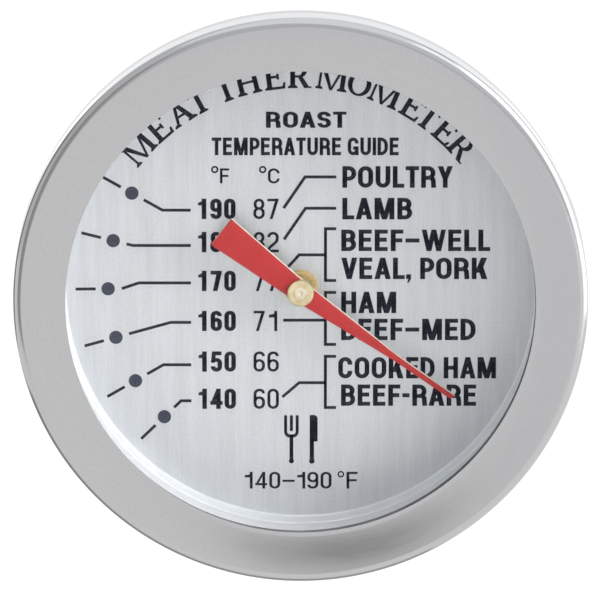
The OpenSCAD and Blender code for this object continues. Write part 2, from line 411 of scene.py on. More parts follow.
# The letters' functions and their widths; ~ is a long dash
SANS = {
    "A": (letter_a, 0.74), "B": (letter_b, 0.66), "C": (letter_c, 0.67), "D": (letter_d, 0.67),
    "E": (letter_e, 0.58), "F": (letter_f, 0.56), "G": (letter_g, 0.7), "H": (letter_h, 0.68),
    "I": (letter_i, 0.2), "K": (letter_k, 0.7), "L": (letter_l, 0.53), "M": (letter_m, 0.88),
    "O": (letter_o, 0.7), "P": (letter_p, 0.64), "R": (letter_r, 0.68), "S": (letter_s, 0.64),
    "T": (letter_t, 0.62), "U": (letter_u, 0.68), "V": (letter_v, 0.72), "W": (letter_w, 1.08),
    "Y": (letter_y, 0.71), ",": (comma, 0.2), "-": (dash, 0.33), "~": (dash, 0.62),
    "0": (letter_o, 0.555), "1": (digit_1, 0.4), "2": (digit_2, 0.555), "4": (digit_4, 0.6),
    "5": (digit_5, 0.555), "6": (digit_6, 0.555), "7": (digit_7, 0.54), "8": (digit_8, 0.555),
    "9": (digit_9, 0.555),
}
GAP = 0.13
SPACE = 0.3
FIXED_GAP = 0.2
# Letters that lean away from what follows or precedes them, and round ones, stand closer
CLOSE = (("AVWYTLPF", "", 0.035), ("", "AVWYT,", 0.035), ("ODCGPRBU0689", "ODCG0689S", 0.02))


def kern(before, after):
    """How much closer than usual two letters stand."""
    return sum(by for first, second, by in CLOSE if before in first or after in second)


def line_of_text(text, cap, weight, width=None, spread=1.0, fixed=None):
    """Letters set in a row from x = 0, their middle at z = 0, and the row's width.

    width is the width wanted, spread a letter's widening and fixed an equal advance."""
    row = []
    x = 0.0
    before = ""
    for letter in text:
        if letter == " ":
            x += SPACE
            before = ""
            continue
        if before:
            x -= kern(before, letter)
        draw, w = SANS[letter]
        cell = fixed or w
        row.append((x + (cell - w) / 2, draw(w, *weight)))
        end = x + cell
        x = end + (fixed * FIXED_GAP if fixed else GAP)
        before = "" if fixed else letter
    across = width / end if width else cap * spread
    placed = []
    for at, shape in row:
        placed.append(changed(shape, lambda p: Vector(((at + p.x) * across, (p.y - 0.5) * cap))))
    return placed, end * across


def moved(shapes, x, z):
    """Shapes shifted over the dial."""
    return [changed(shape, lambda p: p + Vector((x, z))) for shape in shapes]


# Letters of the title: thick uprights, thin levels and bracketed feet
THICK = 0.2
THIN = 0.1
FOOT = 0.1
LEG = THICK * 1.15


def feet(x0, x1, z, up):
    """A serif under or over a stem that spans x0 to x1, with its brackets."""
    thin = THIN * 0.62 * up
    corners = [(x0 - FOOT, z), (x1 + FOOT, z), (x1 + FOOT, z + thin), (x1, z + thin * 2.2),
               (x0, z + thin * 2.2), (x0 - FOOT, z + thin)]
    return filled(corners[::up])


def stem(x, thick=THICK):
    """An upright stroke with a serif at each end."""
    return joined(bar(x, 0, x + thick, 1), feet(x, x + thick, 0, 1), feet(x, x + thick, 1, -1))


def serif_a(w):
    apex = w / 2
    leg_x = w - FOOT - LEG
    return joined(slant(FOOT, 0, apex - THIN, 1, THIN * 1.2, THIN * 1.6),
                  slant(leg_x, 0, apex - THICK * 0.7, 1, LEG, THICK * 0.9),
                  bar(w * 0.26, 0.32, w * 0.72, 0.32 + THIN),
                  feet(FOOT, FOOT + THIN, 0, 1), feet(leg_x, w - FOOT, 0, 1))


def serif_e(w):
    arm = THIN * 1.1
    top_x = w * 0.96
    return joined(stem(FOOT), bar(FOOT, 0, w, arm), bar(FOOT, 1 - arm, top_x, 1),
                  bar(FOOT, 0.52 - arm / 2, w * 0.76, 0.52 + arm / 2),
                  slant(w - THIN * 1.6, 0, w - THIN * 0.4, 0.26, THIN * 1.6, THIN * 0.8),
                  slant(top_x - THIN * 1.2, 0.76, top_x - THIN * 1.5, 1, THIN, THIN * 1.5),
                  bar(w * 0.76 - THIN, 0.4, w * 0.76, 0.64))


def serif_h(w):
    return joined(stem(FOOT), stem(w - FOOT - THICK), bar(FOOT, 0.5 - THIN / 2, w - FOOT, 0.5 + THIN / 2))


def serif_m(w):
    bend = w / 2 - THICK * 0.3
    right = w - FOOT - THICK
    return joined(stem(FOOT, THIN), stem(right), slant(bend, 0, FOOT, 1, THICK * 0.6, THICK * 1.1),
                  slant(bend, 0, right, 1, THICK * 0.5, THIN * 1.3))


def serif_o(w):
    rings = []
    for grow in (1, -1):
        half = (w - THICK) / 2 + grow * THICK / 2
        tall = (1 - THIN) / 2 + grow * THIN / 2
        angles = [math.tau * k / 48 for k in range(48)]
        rings.append([Vector((w / 2 + half * math.cos(a), 0.5 + tall * math.sin(a))) for a in angles])
    return [rings[0]], [rings[1]]


def serif_r(w):
    leg = THICK * 1.2
    return joined(stem(FOOT),
                  lobe((THICK, THIN), FOOT + THICK / 2, w * 0.76, 1 - THIN / 2, 0.48, 0.24),
                  slant(w - leg, 0, w * 0.42, 0.5, leg, THICK), bar(w - leg, 0, w + FOOT * 0.6, THIN * 0.7))


def serif_t(w):
    middle = (w - THICK) / 2
    return joined(bar(middle, 0, middle + THICK, 1), feet(middle, middle + THICK, 0, 1),
                  bar(0, 1 - THIN * 1.1, w, 1), slant(THIN * 0.1, 0.74, 0, 1, THIN * 0.8, THIN * 1.6),
                  slant(w - THIN * 0.9, 0.74, w - THIN * 1.6, 1, THIN * 0.8, THIN * 1.6))


# The title letters' functions and widths at capital height 1
SERIF = {
    "M": (serif_m, 1.28), "E": (serif_e, 0.82), "A": (serif_a, 1.08), "T": (serif_t, 0.8),
    "H": (serif_h, 1.02), "R": (serif_r, 0.9), "O": (serif_o, 0.96),
}

# ---------------------------------------------------------------- the dial's printing, mm

# The title's letters and the angle of each one's middle, in degrees from the right
TITLE = [
    ("M", 138.9), ("E", 131.4), ("A", 124.1), ("T", 118.4),
    ("T", 110.5), ("H", 104.3), ("E", 97.2), ("R", 90.5), ("M", 81.5), ("O", 74.1), ("M", 66.7),
    ("E", 58.7), ("T", 53.5), ("E", 47.6), ("R", 41.6),
]
TITLE_CAP = 2.6
TITLE_BASE_R = 21.38

INK_T = 0.015
LINE_W = 0.32

# Each row of the table: degrees F, degrees C, and the height of its middle
ROWS = [
    ("190", "87", 8.42), ("180", "82", 4.84), ("170", "77", 0.64),
    ("160", "71", -3.70), ("150", "66", -8.12), ("140", "60", -12.18),
]
NUMBER_CAP = 2.2
F_LEFT = -11.05
C_LEFT = -5.03

# The headings over the columns: each letter, where it starts and how far it is widened
UNITS = [("F", -8.54, 1.08), ("C", -3.47, 1.15)]
UNIT_Z = 11.97
UNIT_CAP = 1.62
UNIT_PEN = (0.15, 0.14)
DEGREE_R = 0.3

# Each name of a roast: its middle height, its left edge and its width
NAMES = [
    ("POULTRY", 11.86, 4.41, 11.7), ("LAMB", 8.45, 4.41, 7.4), ("BEEF~WELL", 5.03, 4.3, 15.8),
    ("VEAL, PORK", 2.0, 4.3, 15.5), ("HAM", -1.69, 4.3, 5.85), ("BEEF~MED", -4.62, 4.3, 14.3),
    ("COOKED HAM", -8.79, 4.0, 16.8), ("BEEF-RARE", -11.78, 4.3, 14.4),
]
NAME_CAP = 2.32

# The top and foot of each bracket, and the lines from the Celsius column to names and brackets
BRACKETS = [(6.28, 0.69), (-0.61, -6.25), (-7.55, -13.13)]
BRACKET_X = 2.63
BRACKET_END = 3.77
LEADERS = [
    [(-1.81, 8.50), (0.46, 11.86), (BRACKET_END, 11.86)],
    [(-1.77, 5.12), (0.51, 8.49), (BRACKET_END, 8.49)],
    [(-1.33, 2.16), (-0.16, 3.46), (BRACKET_X, 3.46)],
    [(-1.86, -3.62), (BRACKET_X, -3.62)],
    [(-1.96, -11.99), (-0.16, -10.42), (BRACKET_X, -10.42)],
]

# Each dot of the scale: its angle, its distance from the middle and its line's level end
DOT_R = 0.72
SCALE = [
    (150.5, 20.54, 8.28), (165.9, 20.5, 4.47), (180.6, 20.45, 0.42),
    (195.6, 20.41, -3.86), (210.1, 20.35, -8.47), (224.2, 20.28, -12.40),
]
TICK_FROM_DOT = 1.32
TICK_LENGTH = 2.15
LEADER_FROM_DOT = 1.45
LEADER_END_X = -11.65
LEVEL_BEND_X = -17.2

# Each short line under the title: its middle, its capital height and its width
HEADINGS = [("ROAST", 0.58, 18.0, 1.73, 8.5), ("TEMPERATURE GUIDE", 0.48, 15.14, 1.9, 19.75)]
RANGE_X = 0.05
RANGE_Z = -21.1
RANGE_CAP = 1.84
RANGE_SPREAD = 1.15
RANGE_GAP = 1.6
RANGE_RING = 1.0
PICTURE_X = 0.16
PICTURE_Z = -16.6
PICTURE_H = 5.3
FORK_X = -1.15
KNIFE_X = 1.1


def line_through(points):
    """A thin printed line through points, with mitred bends."""
    path = [Vector(p) for p in points]
    sides = ([], [])
    for i, here in enumerate(path):
        ends = path[max(i - 1, 0):i + 2]
        steps = [(b - a).normalized() for a, b in zip(ends, ends[1:])]
        along = sum(steps, Vector((0, 0))).normalized()
        offset = Vector((-along.y, along.x)) * (LINE_W / 2 / along.dot(steps[0]))
        sides[0].append(here + offset)
        sides[1].append(here - offset)
    return filled(sides[0] + sides[1][::-1])


def on_circle(radius, angle):
    """A point on a circle round the dial's middle."""
    return radius * math.cos(angle), radius * math.sin(angle)


def degree_ring(x, z, radius, width):
    """The small ring of a degree sign."""
    return disc(x, z, radius + width / 2, 24)[0], disc(x, z, radius - width / 2, 24)[0]


def dot_shapes():
    """The six dots of the temperature scale."""
    return [disc(*on_circle(radius, math.radians(angle)), DOT_R) for angle, radius, _ in SCALE]


def scale_shapes():
    """The scale's ticks, and the lines from its dots to the numbers."""
    shapes = []
    for degrees, radius, z in SCALE:
        angle = math.radians(degrees)
        tick_r = radius + TICK_FROM_DOT
        start = on_circle(radius - LEADER_FROM_DOT, angle)
        bend = z / math.tan(angle)
        if abs(bend) > abs(start[0]):
            bend = LEVEL_BEND_X
        shapes.append(line_through([on_circle(tick_r, angle), on_circle(tick_r + TICK_LENGTH, angle)]))
        shapes.append(line_through([start, (bend, z), (LEADER_END_X, z)]))
    return shapes


def number_shapes():
    """The two columns of temperatures under their headings."""
    shapes = []
    for fahrenheit, celsius, z in ROWS:
        shapes += moved(line_of_text(fahrenheit, NUMBER_CAP, BOLD, fixed=0.555)[0], F_LEFT, z)
        shapes += moved(line_of_text(celsius, NUMBER_CAP, LIGHT, fixed=0.56)[0], C_LEFT, z)
    for letter, x, spread in UNITS:
        shapes += moved(line_of_text(letter, UNIT_CAP, UNIT_PEN, spread=spread)[0], x, UNIT_Z)
        shapes.append(degree_ring(x - 0.55, UNIT_Z + 0.68, DEGREE_R, 0.19))
    return shapes


def name_shapes():
    """The names of the roasts with their brackets and leader lines."""
    shapes = []
    for text, z, x, width in NAMES:
        shapes += moved(line_of_text(text, NAME_CAP, BOLD, width)[0], x, z)
    brackets = [[(BRACKET_END, top), (BRACKET_X, top), (BRACKET_X, foot), (BRACKET_END, foot)]
                for top, foot in BRACKETS]
    return shapes + [line_through(points) for points in LEADERS + brackets]


def heading_shapes():
    """The two short lines under the title and the range at the foot of the dial."""
    shapes = []
    for text, x, z, cap, width in HEADINGS:
        shapes += moved(line_of_text(text, cap, BOLD, width)[0], x - width / 2, z)
    numbers, width = line_of_text("140~190", RANGE_CAP, LIGHT, spread=RANGE_SPREAD)
    unit, unit_w = line_of_text("F", RANGE_CAP, LIGHT, spread=RANGE_SPREAD)
    left = RANGE_X - (width + RANGE_GAP + unit_w) / 2
    shapes += moved(numbers, left, RANGE_Z) + moved(unit, left + width + RANGE_GAP, RANGE_Z)
    ring_z = RANGE_Z + RANGE_CAP * 0.36
    return shapes + [degree_ring(left + width + RANGE_RING, ring_z, 0.28, 0.16)]


def cutlery_shapes():
    """A plain fork and knife, standing side by side."""
    half = PICTURE_H / 2
    tine_r = 0.16
    tine_gap = 0.62
    end_z = -half + 0.27
    shapes = []
    for x in (FORK_X - tine_gap, FORK_X, FORK_X + tine_gap):
        top = half - tine_r
        shapes.append(joined(bar(x - tine_r, 0.9, x + tine_r, top), disc(x, top, tine_r, 16)))
    left, right = FORK_X - tine_gap, FORK_X + tine_gap
    cup = [(left, 1.1), (left, 0.35, 0.5), (right, 0.35, 0.5), (right, 1.1)]
    back = KNIFE_X - 0.3
    edge = KNIFE_X + 0.55
    blade = [(back, -0.25), (edge, -0.25, 0.1), (edge, half, 1.6), (back, half, 0.1)]
    shapes += [
        stroke((0.32, 0.36), cup),
        joined(bar(FORK_X - 0.2, end_z, FORK_X + 0.2, 0.5), disc(FORK_X, end_z, 0.27, 20)),
        filled(rounded(blade)),
        joined(bar(back, end_z, KNIFE_X + 0.16, -0.1), disc(KNIFE_X - 0.07, end_z, 0.3, 20)),
    ]
    return moved(shapes, PICTURE_X, PICTURE_Z)


def title_shapes():
    """The title, its letters standing on an arc round the dial."""
    shapes = []
    for letter, degrees in TITLE:
        draw, width = SERIF[letter]
        turn = math.radians(degrees) - math.pi / 2

        def put(p):
            up = p.y * TITLE_CAP + TITLE_BASE_R
            return turned(Vector(((p.x - width / 2) * TITLE_CAP, up)), turn)
        shapes.append(changed(draw(width), put))
    return shapes


# ---------------------------------------------------------------- meshes

def new_object(name, bm, sharp=35):
    """A mesh object from a bmesh in mm: welded, facing outwards, smooth with sharp creases."""
    bmesh.ops.remove_doubles(bm, verts=bm.verts, dist=1e-5)
    bmesh.ops.recalc_face_normals(bm, faces=bm.faces)
    bmesh.ops.scale(bm, vec=(MM, MM, MM), verts=bm.verts)
    mesh = bpy.data.meshes.new(name)
    bm.to_mesh(mesh)
    bm.free()
    mesh.shade_smooth()
    mesh.set_sharp_from_angle(angle=math.radians(sharp))
    piece = bpy.data.objects.new(name, mesh)
    bpy.context.scene.collection.objects.link(piece)
    return piece


def finish_piece(piece, body, slot, material, *nodes):
    """Gives a piece its material and its body, and hides the CAD nodes that it stands for. slot is not used.
    """
    piece.data.materials.append(material)
    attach(piece, body)
    if nodes:
        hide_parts(*nodes)
    return piece


def held(outline, hold=0.05):
    """An outline with a point close to each end of its long flats, to keep their shading flat."""
    points = []
    for a, b in zip(outline, outline[1:] + outline[:1]):
        points.append(a)
        length = (b - a).length
        if length > 20 * hold:
            points += [a.lerp(b, hold / length), b.lerp(a, hold / length)]
    return points


def lathe(name, profile, y0=lip_y, limit=None, segments=SEGMENTS, sharp=35):
    """A closed outline of (radius, depth) corners turned round the stem's axis.

    y0 is where depth 0 lies. limit(angle, depth), if given, caps the radius, as a hexagon does."""
    outline = held(rounded(profile))
    bm = bmesh.new()
    rings = []
    for point in outline:
        if point.x < 1e-6:
            rings.append([bm.verts.new((0, y0 + point.y, 0))])
            continue
        ring = []
        for k in range(segments):
            angle = math.tau * k / segments
            radius = point.x if limit is None else min(point.x, limit(angle, point.y))
            ring.append(bm.verts.new((radius * math.cos(angle), y0 + point.y, radius * math.sin(angle))))
        rings.append(ring)
    for a, b in zip(rings, rings[1:] + rings[:1]):
        if len(a) == 1 and len(b) == 1:
            continue
        for k in range(segments):
            n = (k + 1) % segments
            if len(a) == 1:
                bm.faces.new((a[0], b[k], b[n]))
            elif len(b) == 1:
                bm.faces.new((a[k], b[0], a[n]))
            else:
                bm.faces.new((a[k], b[k], b[n], a[n]))
    return new_object(name, bm, sharp)


def against_clock(path):
    """A closed path in the direction that the fill below needs."""
    return path if signed_area(path) > 0 else path[::-1]


def printed(name, shapes):
    """Ink on the dial: each shape filled, less its holes, and given the ink's thickness."""
    bm = bmesh.new()
    for inks, holes in shapes:
        paths = [against_clock(path) for path in inks + holes]
        points = [p for path in paths for p in path]
        faces = []
        start = 0
        for path in paths:
            faces.append(list(range(start, start + len(path))))
            start += len(path)
        out_points, _, out_faces, _, _, sources = delaunay_2d_cdt(points, [], faces, 1, 1e-6)
        keep = [face for face, source in zip(out_faces, sources)
                if source and max(source) < len(inks)]
        front = [bm.verts.new((p.x, dial_y - INK_T, p.y)) for p in out_points]
        back = [bm.verts.new((p.x, dial_y + INK_T / 3, p.y)) for p in out_points]
        edges = {}
        for face in keep:
            bm.faces.new([front[i] for i in face])
            bm.faces.new([back[i] for i in reversed(face)])
            edges.update(((a, b), True) for a, b in zip(face, face[1:] + face[:1]))
        for a, b in edges:
            if (b, a) not in edges:
                bm.faces.new((front[a], back[a], back[b], front[b]))
        for vert in front + back:
            if not vert.link_faces:
                bm.verts.remove(vert)
    return new_object(name, bm, sharp=20)


# ---------------------------------------------------------------- material helpers

class Paint:
    """A material with one Principled shader and helpers that add nodes to it."""

    def __init__(self, name, colour, metallic=0.0, roughness=0.5, **sockets):
        self.material = bpy.data.materials.new(name)
        self.material.use_nodes = True
        self.tree = self.material.node_tree
        self.shader = self.tree.nodes["Principled BSDF"]
        values = {"Base Color": (*colour, 1), "Metallic": metallic, "Roughness": roughness}
        for socket, value in (values | sockets).items():
            self.feed(self.shader.inputs[socket.replace("_", " ")], value)
        self.place = self.node("TexCoord", {}, "Object")

    def feed(self, socket, value):
        """Links a node's output to a socket, or sets the socket to a number or a colour."""
        if isinstance(value, bpy.types.NodeSocket):
            self.tree.links.new(value, socket)
        else:
            socket.default_value = value

    def node(self, kind, inputs, output=0, **settings):
        """Adds a node with these inputs and settings, and gives one of its outputs."""
        node = self.tree.nodes.new("ShaderNode" + kind)
        for name, value in settings.items():
            setattr(node, name, value)
        for key, value in inputs.items():
            self.feed(node.inputs[key], value)
        return node.outputs[output]

    def math(self, kind, a, b=0.5):
        return self.node("Math", {0: a, 1: b}, operation=kind)

    def add(self, a, b):
        return self.math("ADD", a, b)

    def times(self, a, b):
        return self.math("MULTIPLY", a, b)

    def stretched(self, x, y, z):
        """Object coordinates in features per mm along each axis."""
        return self.node("VectorMath", {0: self.place, 1: (x / MM, y / MM, z / MM)}, operation="MULTIPLY")

    def split(self):
        return [self.node("SeparateXYZ", {0: self.place}, axis) for axis in range(3)]

    def radius(self):
        x, _, z = self.split()
        return self.math("SQRT", self.add(self.times(x, x), self.times(z, z)))

    def around(self, across, along):
        """Coordinates for marks that run round the stem's axis.

        across is marks per mm of radius or depth, along is how often they change in a turn."""
        x, y, z = self.split()
        radius = self.math("MAXIMUM", self.radius(), 1e-5)
        lane = self.times(self.add(radius, y), across / MM)
        sides = [self.times(self.math("DIVIDE", side, radius), along) for side in (x, z)]
        return self.node("CombineXYZ", {0: lane, 1: sides[0], 2: sides[1]})

    def noise(self, vector, detail=2.0, rough=0.5, scale=1.0):
        return self.node("TexNoise", {"Vector": vector, "Scale": scale, "Detail": detail, "Roughness": rough})

    def ramp(self, value, low_in, high_in, low_out=0.0, high_out=1.0):
        return self.node("MapRange", {"Value": value, "From Min": low_in, "From Max": high_in,
                                      "To Min": low_out, "To Max": high_out})

    def swing(self, marks, low, high):
        """A value that follows a noise between two levels."""
        return self.ramp(marks, 0.3, 0.7, low, high)

    def bump(self, height, strength, distance, under=None):
        inputs = {"Strength": strength, "Distance": distance * MM, "Height": height}
        if under:
            inputs["Normal"] = under
        return self.node("Bump", inputs)

    def tint(self, factor, a, b):
        """Colours the material between two colours."""
        mixed = self.node("Mix", {0: factor, 6: (*a, 1), 7: (*b, 1)}, 2, data_type="RGBA")
        self.feed(self.shader.inputs["Base Color"], mixed)

    def finish(self, roughness, normal):
        """Gives the material its roughness and its bumps."""
        self.feed(self.shader.inputs["Roughness"], roughness)
        self.feed(self.shader.inputs["Normal"], normal)
        return self.material


def shade(colour, factor):
    """A colour made lighter or darker."""
    return tuple(channel * factor for channel in colour)


def brushed_round(name, colour, roughness, lanes=9, strength=0.35):
    """Sheet steel with a satin finish whose fine marks run round the axis."""
    paint = Paint(name, colour, 1.0, roughness)
    marks = paint.noise(paint.around(lanes, 6), 3, 0.6)
    broad = paint.noise(paint.stretched(0.12, 0.12, 0.12), 3)
    speck = paint.noise(paint.stretched(6, 6, 6))
    paint.tint(paint.ramp(paint.add(marks, speck), 0.6, 1.4), shade(colour, 0.95), shade(colour, 1.05))
    satin = paint.add(paint.swing(marks, roughness * 0.9, roughness * 1.1), paint.swing(broad, -0.01, 0.01))
    fine = paint.bump(marks, strength, 0.004)
    return paint.finish(satin, paint.bump(speck, strength * 0.25, 0.004, fine))


def brushed_straight(name, colour, roughness):
    """Dial sheet: rolled aluminium with fine upright brush marks under a satin lacquer."""
    paint = Paint(name, colour, 0.5, roughness)
    marks = paint.noise(paint.stretched(5, 5, 0.2), 3, 0.65)
    speck = paint.noise(paint.stretched(5, 5, 4))
    broad = paint.noise(paint.stretched(0.9, 0.9, 0.07))
    streaks = paint.add(marks, paint.add(speck, broad))
    paint.tint(paint.ramp(streaks, 1.1, 1.9), shade(colour, 0.9), shade(colour, 1.08))
    satin = paint.add(paint.swing(marks, roughness - 0.05, roughness + 0.05),
                      paint.swing(broad, -0.03, 0.03))
    return paint.finish(satin, paint.bump(speck, 0.2, 0.003, paint.bump(marks, 0.3, 0.004)))


def turned_metal(name, colour, roughness, dirt, lanes=14, metallic=1.0):
    """Bar metal off a lathe: close tool rings round the axis and a little tarnish."""
    paint = Paint(name, colour, metallic, roughness)
    rings = paint.noise(paint.around(lanes, 0.6), 2, 0.55)
    stain = paint.noise(paint.stretched(0.9, 0.9, 0.9), 4, 0.6)
    worn = paint.add(paint.ramp(stain, 0.45, 0.75, 0, 0.7), paint.ramp(rings, 0.35, 0.65, 0, 0.5))
    paint.tint(worn, colour, dirt)
    satin = paint.add(paint.swing(rings, roughness - 0.06, roughness + 0.06),
                      paint.ramp(stain, 0.35, 0.7, 0, 0.12))
    return paint.finish(satin, paint.bump(rings, 0.5, 0.006))


def drawn_tube(name, colour, roughness):
    """Drawn and ground tube: faint rings across and long scratches along the stem."""
    paint = Paint(name, colour, 1.0, roughness)
    rings = paint.noise(paint.around(10, 1.2), 3, 0.6)
    scratches = paint.noise(paint.stretched(9, 0.12, 9))
    cloud = paint.noise(paint.stretched(0.15, 0.08, 0.15), 3)
    paint.tint(paint.ramp(cloud, 0.35, 0.7), colour, shade(colour, 0.9))
    satin = paint.add(paint.swing(rings, roughness - 0.05, roughness + 0.05),
                      paint.ramp(scratches, 0.4, 0.7, 0, 0.06))
    return paint.finish(satin, paint.bump(scratches, 0.12, 0.003, paint.bump(rings, 0.18, 0.004)))


def window_glass(name):
    """Clear flat glass, seen mostly by its edge, with the faintest haze on it."""
    paint = Paint(name, (0.97, 0.985, 0.98), 0.0, 0.02, Transmission_Weight=1.0, IOR=1.5)
    haze = paint.noise(paint.stretched(0.2, 0.2, 0.2), 4, 0.6)
    lean = paint.node("LayerWeight", {"Blend": 0.25}, "Fresnel")
    edge = paint.ramp(lean, 0.05, 0.6, 0.015, 0.6)
    paint.feed(paint.shader.inputs["Alpha"], paint.add(edge, paint.ramp(haze, 0.4, 0.8, 0, 0.01)))
    return paint.finish(paint.ramp(haze, 0.4, 0.75, 0.01, 0.05), paint.bump(haze, 0.1, 0.002))


def coated(name, colours, specular, grain, cloud, cover, satin, bump):
    """Ink, lacquer or rubber: a fine grain, and a broad change between two colours.

    grain and cloud are a noise's marks per mm and detail, cover and satin ranges that each covers."""
    paint = Paint(name, colours[0], Specular_IOR_Level=specular)
    fine = paint.noise(paint.stretched(*[grain[0]] * 3), *grain[1:])
    broad = paint.noise(paint.stretched(*[cloud[0]] * 3), *cloud[1:])
    paint.tint(paint.ramp(broad, *cover), *colours)
    return paint.finish(paint.swing(fine, *satin), paint.bump(fine, *bump))


def cut_edge(name, colour):
    """A sheared edge: bare aluminium with upright shear marks. Its pale cream is also used as a painted
    highlight on the pointer's lit edge.
    """
    paint = Paint(name, colour, 0.3, 0.45)
    shear = paint.noise(paint.stretched(7, 0.8, 7), 3)
    paint.tint(paint.ramp(shear, 0.35, 0.65), shade(colour, 0.8), colour)
    return paint.finish(paint.swing(shear, 0.36, 0.56), paint.bump(shear, 0.5, 0.01))


def two_metal_strip(name, inner, outer):
    """Bimetal: a warm and a grey layer, told apart by their distance from the axis."""
    paint = Paint(name, outer, 1.0, 0.35)
    paint.tint(paint.ramp(paint.radius(), COIL_R - LAYER, COIL_R + LAYER), inner, outer)
    marks = paint.noise(paint.around(16, 8), 3)
    return paint.finish(paint.swing(marks, 0.28, 0.44), paint.bump(marks, 0.4, 0.003))


# ---------------------------------------------------------------- the materials

STEEL = (0.48, 0.48, 0.487)
ALUMINIUM = (0.69, 0.707, 0.728)
BRASS = (0.84, 0.71, 0.44)
INK = (0.012, 0.013, 0.022)
SLATE = (0.055, 0.061, 0.083)
RED = (0.54, 0.04, 0.04)
RUBBER = (0.085, 0.085, 0.09)
COIL_R = 0.0012
LAYER = 0.00002

bezel_steel = brushed_round("bezel_steel", STEEL, 0.14, 24, 0.015)
case_steel = brushed_round("case_steel", shade(STEEL, 0.98), 0.3)
boss_steel = brushed_round("boss_steel", STEEL, 0.24, 7, 0.15)
stem_steel = drawn_tube("stem_steel", shade(STEEL, 1.05), 0.22)
plated_steel = turned_metal("plated_steel", (0.6, 0.6, 0.56), 0.3, (0.48, 0.46, 0.4), 6)
dial_aluminium = brushed_straight("dial_aluminium", ALUMINIUM, 0.46)
rim_aluminium = turned_metal("rim_aluminium", (0.9, 0.92, 0.94), 0.4, shade(ALUMINIUM, 1.25), 10, 0.35)
# A paler, more diffuse copy of the dial's aluminium for the bead's front: a painted highlight round the
# dial's edge.
bead_highlight_aluminium = turned_metal("bead_highlight_aluminium", (0.88, 0.89, 0.9), 0.4, (0.84, 0.85, 0.86), 10, 0.2)
spacer_aluminium = turned_metal("spacer_aluminium", (0.85, 0.86, 0.87), 0.45,
                                shade(ALUMINIUM, 1.1), 10, 0.4)
brass = turned_metal("brass", BRASS, 0.3, shade(BRASS, 0.66), 5)
# A brighter, less metallic copy of the brass for the bush: painted light that offsets the shadow the hub and
# pointer cast on it. Its dark tone is the bush's dirt.
bush_brass_brightened = turned_metal("bush_brass_brightened", (0.98, 0.76, 0.4), 0.35, (0.48, 0.33, 0.12), 12, 0.5)
worn_brass = turned_metal("worn_brass", (0.86, 0.81, 0.68), 0.4, shade(BRASS, 0.8), 7, 0.6)
bronze = turned_metal("bronze", (0.62, 0.42, 0.26), 0.36, (0.4, 0.27, 0.17), 9)
rubber = coated("seal_rubber", (RUBBER, shade(RUBBER, 1.9)), 0.35, (5, 3, 0.6), (0.35, 3),
                (0.4, 0.75), (0.47, 0.63), (0.5, 0.01))
glass = window_glass("lens_glass")
PRINT = (0.06, (9, 2), (0.8, 4, 0.65), (0.35, 0.8), (0.42, 0.6), (0.3, 0.004))
ink = coated("dial_ink", (INK, shade(INK, 1.5)), *PRINT)
dot_ink = coated("dial_dot_ink", (SLATE, shade(SLATE, 1.3)), *PRINT)
lacquer = coated("pointer_red", (RED, shade(RED, 0.88)), 0.3, (2.5, 2), (0.5, 3), (0.35, 0.7),
                 (0.36, 0.5), (0.25, 0.012))
bare_edge_and_highlight = cut_edge("pointer_cut_edge_and_highlight", (0.95, 0.88, 0.76))
bimetal = two_metal_strip("bimetal", (0.66, 0.5, 0.34), (0.5, 0.5, 0.49))

# ---------------------------------------------------------------- the head's turned pieces

FACE_FALL = 0.15
FACE_SLOPE = 0.014
FACE_BITS = 8
CORNER_R = 0.95
LIP_UNDERCUT = 0.3
CRIMP_START = 1.5
CRIMP_W = 2.2
LENS_CHAMFER = 0.25
WINDOW_GASKET_R = 24.75
# How far the window gasket is shifted up and to the left: its dark rubber then peeks inside the lip on the
# right and lower right, standing in for a shadow line.
WINDOW_GASKET_SHADOW_SHIFT = 0.17
CASE_GASKET_R = 27.1
SPACER_W = 1.4
BOSS_R = 4.0
BEAD_W = 0.19
BEAD_H = 0.1
BEAD_MARGIN = 0.01
RIB_R = 13.5
RIB_HALF = 1.2
RIB_H = 0.5
BUSH_SHANK_R = 1.5
BUSH_FLANGE_T = 0.45
SHAFT_R = 0.5
HUB_RIVET_R = 0.8
HUB_COLLAR_R = 1.2
HUB_WORN_R = 0.64
DIMPLE_R = 0.24
DIMPLE_DEPTH = 0.18


def make_piece(name, node, slot, material, profile, body="head", **turning):
    """Turns a profile round the axis and lets it stand for a CAD node."""
    return finish_piece(lathe(name, profile, **turning), body, slot, material, node)


def from_axis(face):
    """How far a face's middle lies from the stem's axis, in mm."""
    return math.hypot(face.center.x, face.center.z) / MM


def make_bezel():
    """Bezel: slightly crowned face, rounded corner, skirt and the crimp behind the case."""
    back = bezel_back
    inner = bezel_r - sheet
    crimp_end = bezel_r - CRIMP_W
    width = bezel_r - CORNER_R - window_r
    curve = (FACE_FALL - FACE_SLOPE * width) / width ** 2
    profile = [(window_r, 0.0, 0.04)]
    for k in range(1, FACE_BITS + 1):
        out = width * k / FACE_BITS
        profile.append((window_r + out, FACE_SLOPE * out + curve * out ** 2))
    profile += [
        (bezel_r, profile[-1][1] + CORNER_R * 0.05, CORNER_R), (bezel_r, back - CRIMP_START, 0.6),
        (crimp_r, back - 0.6, 0.5), (crimp_r, back, 0.5), (crimp_end, back, 0.1),
        (crimp_end, back - sheet, 0.1), (inner, back - sheet, 0.05), (inner, FACE_FALL + sheet, 0.5),
        (window_r + LIP_UNDERCUT, FACE_FALL + sheet - 0.1, 0.1),
    ]
    make_piece("bezel_ring", "bezel", "bezel_steel", bezel_steel, profile, sharp=50)


def make_lens():
    """Flat glass with its rim ground to a small chamfer."""
    inner = lens_r - LENS_CHAMFER
    profile = [
        (0, lens_front), (inner, lens_front), (lens_r, lens_front + LENS_CHAMFER),
        (lens_r, lens_back - LENS_CHAMFER), (inner, lens_back), (0, lens_back),
    ]
    make_piece("window_glass", "lens", "lens_glass", glass, profile)


